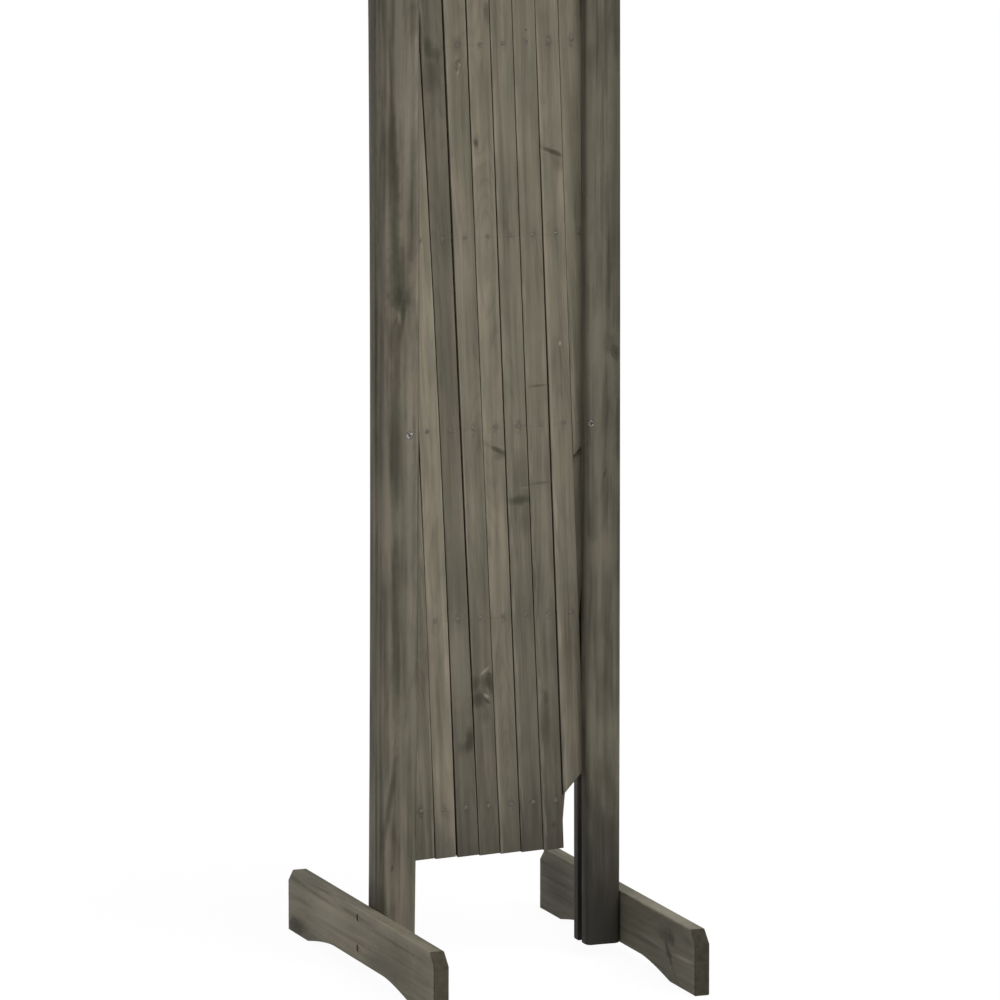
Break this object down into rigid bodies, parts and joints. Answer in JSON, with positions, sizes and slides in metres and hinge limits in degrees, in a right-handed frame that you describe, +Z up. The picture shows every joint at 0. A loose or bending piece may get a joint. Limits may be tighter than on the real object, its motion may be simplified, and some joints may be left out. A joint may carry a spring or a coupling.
{
  "type": "garden privacy screen",
  "caption": "Free-standing garden privacy screen: an expanding riveted slat lattice held in two grooved posts on feet.",
  "frame": {"origin": "on the floor, at the middle of the closed screen's footprint", "axes": "+Z up along the posts, +X across the screen from the left post to the right one, -Y towards the viewer of the front layer"},
  "size_m": [0.2896, 0.42, 1],
  "materials": {
    "stained_post": "grey-brown stained fir, matt",
    "stained_foot": "grey-brown stained fir, matt, lighter than the posts",
    "stained_front_slat": "grey-brown stained fir, matt, tone varies from slat to slat",
    "stained_back_slat": "grey-brown stained fir, matt",
    "rivet_steel": "small flush rivets, stained over with the wood",
    "screw_steel": "dull zinc-plated countersunk screws"
  },
  "bodies": {
    "left_stand": {"left_post": "stained_post", "left_foot": "stained_foot", "left_pivot_screw": "screw_steel", "left_foot_screw_lower": "screw_steel", "left_foot_screw_upper": "screw_steel"},
    "right_stand": {"right_post": "stained_post", "right_foot": "stained_foot", "right_pivot_screw": "screw_steel", "right_foot_screw_lower": "screw_steel", "right_foot_screw_upper": "screw_steel"},
    "front_slat_1": {"front_slat_1": "stained_front_slat", "rivet_row_1_slat_1": "rivet_steel", "rivet_row_2_slat_1": "rivet_steel"},
    "front_slat_2": {"front_slat_2": "stained_front_slat", "rivet_row_1_slat_2": "rivet_steel", "rivet_row_2_slat_2": "rivet_steel", "rivet_row_3_slat_2": "rivet_steel", "rivet_row_4_slat_2": "rivet_steel"},
    "front_slat_3": {"front_slat_3": "stained_front_slat", "rivet_row_1_slat_3": "rivet_steel", "rivet_row_2_slat_3": "rivet_steel", "rivet_row_3_slat_3": "rivet_steel", "rivet_row_4_slat_3": "rivet_steel"},
    "front_slat_4": {"front_slat_4": "stained_front_slat", "rivet_row_1_slat_4": "rivet_steel", "rivet_row_2_slat_4": "rivet_steel", "rivet_row_3_slat_4": "rivet_steel", "rivet_row_4_slat_4": "rivet_steel"},
    "front_slat_5": {"front_slat_5": "stained_front_slat", "rivet_row_1_slat_5": "rivet_steel", "rivet_row_2_slat_5": "rivet_steel", "rivet_row_3_slat_5": "rivet_steel", "rivet_row_4_slat_5": "rivet_steel", "rivet_row_5_slat_5": "rivet_steel"},
    "front_slat_6": {"front_slat_6": "stained_front_slat", "rivet_row_1_slat_6": "rivet_steel", "rivet_row_2_slat_6": "rivet_steel", "rivet_row_3_slat_6": "rivet_steel", "rivet_row_4_slat_6": "rivet_steel"},
    "front_slat_7": {"front_slat_7": "stained_front_slat", "rivet_row_1_slat_7": "rivet_steel", "rivet_row_2_slat_7": "rivet_steel", "rivet_row_3_slat_7": "rivet_steel", "rivet_row_4_slat_7": "rivet_steel"},
    "front_slat_8": {"front_slat_8": "stained_front_slat", "rivet_row_2_slat_8": "rivet_steel", "rivet_row_3_slat_8": "rivet_steel", "rivet_row_4_slat_8": "rivet_steel"},
    "front_slat_9": {"front_slat_9": "stained_front_slat", "rivet_row_4_slat_9": "rivet_steel", "rivet_row_5_slat_9": "rivet_steel"},
    "back_slat_1": {"back_slat_1": "stained_back_slat"},
    "back_slat_2": {"back_slat_2": "stained_back_slat"},
    "back_slat_3": {"back_slat_3": "stained_back_slat"},
    "back_slat_4": {"back_slat_4": "stained_back_slat"},
    "back_slat_5": {"back_slat_5": "stained_back_slat"},
    "back_slat_6": {"back_slat_6": "stained_back_slat"},
    "back_slat_7": {"back_slat_7": "stained_back_slat"},
    "back_slat_8": {"back_slat_8": "stained_back_slat"},
    "back_slat_9": {"back_slat_9": "stained_back_slat"}
  },
  "joints": [
    {"name": "fold", "type": "hinge", "parent": "left_stand", "child": "front_slat_1", "pos_m": [-0.096, 0.005, 0.542], "axis": [0, -1, 0], "range_deg": [0, 31.2]},
    {"name": "left_pivot_back", "type": "hinge", "parent": "left_stand", "child": "back_slat_1", "pos_m": [-0.096, 0.005, 0.542], "axis": [0, -1, 0], "range_deg": [-29.14, 0]},
    {"name": "cross_1", "type": "hinge", "parent": "front_slat_1", "child": "back_slat_3", "pos_m": [-0.0796, 0.005, 0.16035], "axis": [0, -1, 0], "range_deg": [-60.34, 0]},
    {"name": "cross_2", "type": "hinge", "parent": "back_slat_3", "child": "front_slat_5", "pos_m": [-0.0164, 0.005, 0.92365], "axis": [0, -1, 0], "range_deg": [0, 60.34]},
    {"name": "cross_3", "type": "hinge", "parent": "front_slat_5", "child": "back_slat_7", "pos_m": [0.0164, 0.005, 0.16035], "axis": [0, -1, 0], "range_deg": [-60.34, 0]},
    {"name": "cross_4", "type": "hinge", "parent": "back_slat_7", "child": "front_slat_9", "pos_m": [0.0796, 0.005, 0.92365], "axis": [0, -1, 0], "range_deg": [0, 60.34]},
    {"name": "right_pivot", "type": "hinge", "parent": "front_slat_9", "child": "right_stand", "pos_m": [0.096, 0.005, 0.542], "axis": [0, -1, 0], "range_deg": [-31.2, 0]},
    {"name": "back_slat_2_rivet", "type": "hinge", "parent": "front_slat_1", "child": "back_slat_2", "pos_m": [-0.0878, 0.005, 0.35118], "axis": [0, -1, 0], "range_deg": [-60.34, 0]},
    {"name": "front_slat_2_rivet", "type": "hinge", "parent": "back_slat_3", "child": "front_slat_2", "pos_m": [-0.0638, 0.005, 0.35118], "axis": [0, -1, 0], "range_deg": [0, 60.34]},
    {"name": "front_slat_3_rivet", "type": "hinge", "parent": "back_slat_3", "child": "front_slat_3", "pos_m": [-0.048, 0.005, 0.542], "axis": [0, -1, 0], "range_deg": [0, 60.34]},
    {"name": "front_slat_4_rivet", "type": "hinge", "parent": "back_slat_3", "child": "front_slat_4", "pos_m": [-0.0322, 0.005, 0.73282], "axis": [0, -1, 0], "range_deg": [0, 60.34]},
    {"name": "back_slat_4_rivet", "type": "hinge", "parent": "front_slat_5", "child": "back_slat_4", "pos_m": [-0.0082, 0.005, 0.73282], "axis": [0, -1, 0], "range_deg": [-60.34, 0]},
    {"name": "back_slat_5_rivet", "type": "hinge", "parent": "front_slat_5", "child": "back_slat_5", "pos_m": [0, 0.005, 0.542], "axis": [0, -1, 0], "range_deg": [-60.34, 0]},
    {"name": "back_slat_6_rivet", "type": "hinge", "parent": "front_slat_5", "child": "back_slat_6", "pos_m": [0.0082, 0.005, 0.35118], "axis": [0, -1, 0], "range_deg": [-60.34, 0]},
    {"name": "front_slat_6_rivet", "type": "hinge", "parent": "back_slat_7", "child": "front_slat_6", "pos_m": [0.0322, 0.005, 0.35118], "axis": [0, -1, 0], "range_deg": [0, 60.34]},
    {"name": "front_slat_7_rivet", "type": "hinge", "parent": "back_slat_7", "child": "front_slat_7", "pos_m": [0.048, 0.005, 0.542], "axis": [0, -1, 0], "range_deg": [0, 60.34]},
    {"name": "front_slat_8_rivet", "type": "hinge", "parent": "back_slat_7", "child": "front_slat_8", "pos_m": [0.0638, 0.005, 0.73282], "axis": [0, -1, 0], "range_deg": [0, 60.34]},
    {"name": "back_slat_8_rivet", "type": "hinge", "parent": "front_slat_9", "child": "back_slat_8", "pos_m": [0.0878, 0.005, 0.73282], "axis": [0, -1, 0], "range_deg": [-60.34, 0]},
    {"name": "right_pivot_back", "type": "hinge", "parent": "front_slat_9", "child": "back_slat_9", "pos_m": [0.096, 0.005, 0.542], "axis": [0, -1, 0], "range_deg": [-60.34, 0]}
  ],
  "couplings": [
    {"joint": "left_pivot_back", "follows": "fold", "ratio": -0.934},
    {"joint": "cross_1", "follows": "fold", "ratio": -1.934},
    {"joint": "cross_2", "follows": "fold", "ratio": 1.934},
    {"joint": "cross_3", "follows": "fold", "ratio": -1.934},
    {"joint": "cross_4", "follows": "fold", "ratio": 1.934},
    {"joint": "right_pivot", "follows": "fold", "ratio": -1},
    {"joint": "back_slat_2_rivet", "follows": "fold", "ratio": -1.934},
    {"joint": "front_slat_2_rivet", "follows": "fold", "ratio": 1.934},
    {"joint": "front_slat_3_rivet", "follows": "fold", "ratio": 1.934},
    {"joint": "front_slat_4_rivet", "follows": "fold", "ratio": 1.934},
    {"joint": "back_slat_4_rivet", "follows": "fold", "ratio": -1.934},
    {"joint": "back_slat_5_rivet", "follows": "fold", "ratio": -1.934},
    {"joint": "back_slat_6_rivet", "follows": "fold", "ratio": -1.934},
    {"joint": "front_slat_6_rivet", "follows": "fold", "ratio": 1.934},
    {"joint": "front_slat_7_rivet", "follows": "fold", "ratio": 1.934},
    {"joint": "front_slat_8_rivet", "follows": "fold", "ratio": 1.934},
    {"joint": "back_slat_8_rivet", "follows": "fold", "ratio": -1.934},
    {"joint": "right_pivot_back", "follows": "fold", "ratio": -1.934}
  ]
}
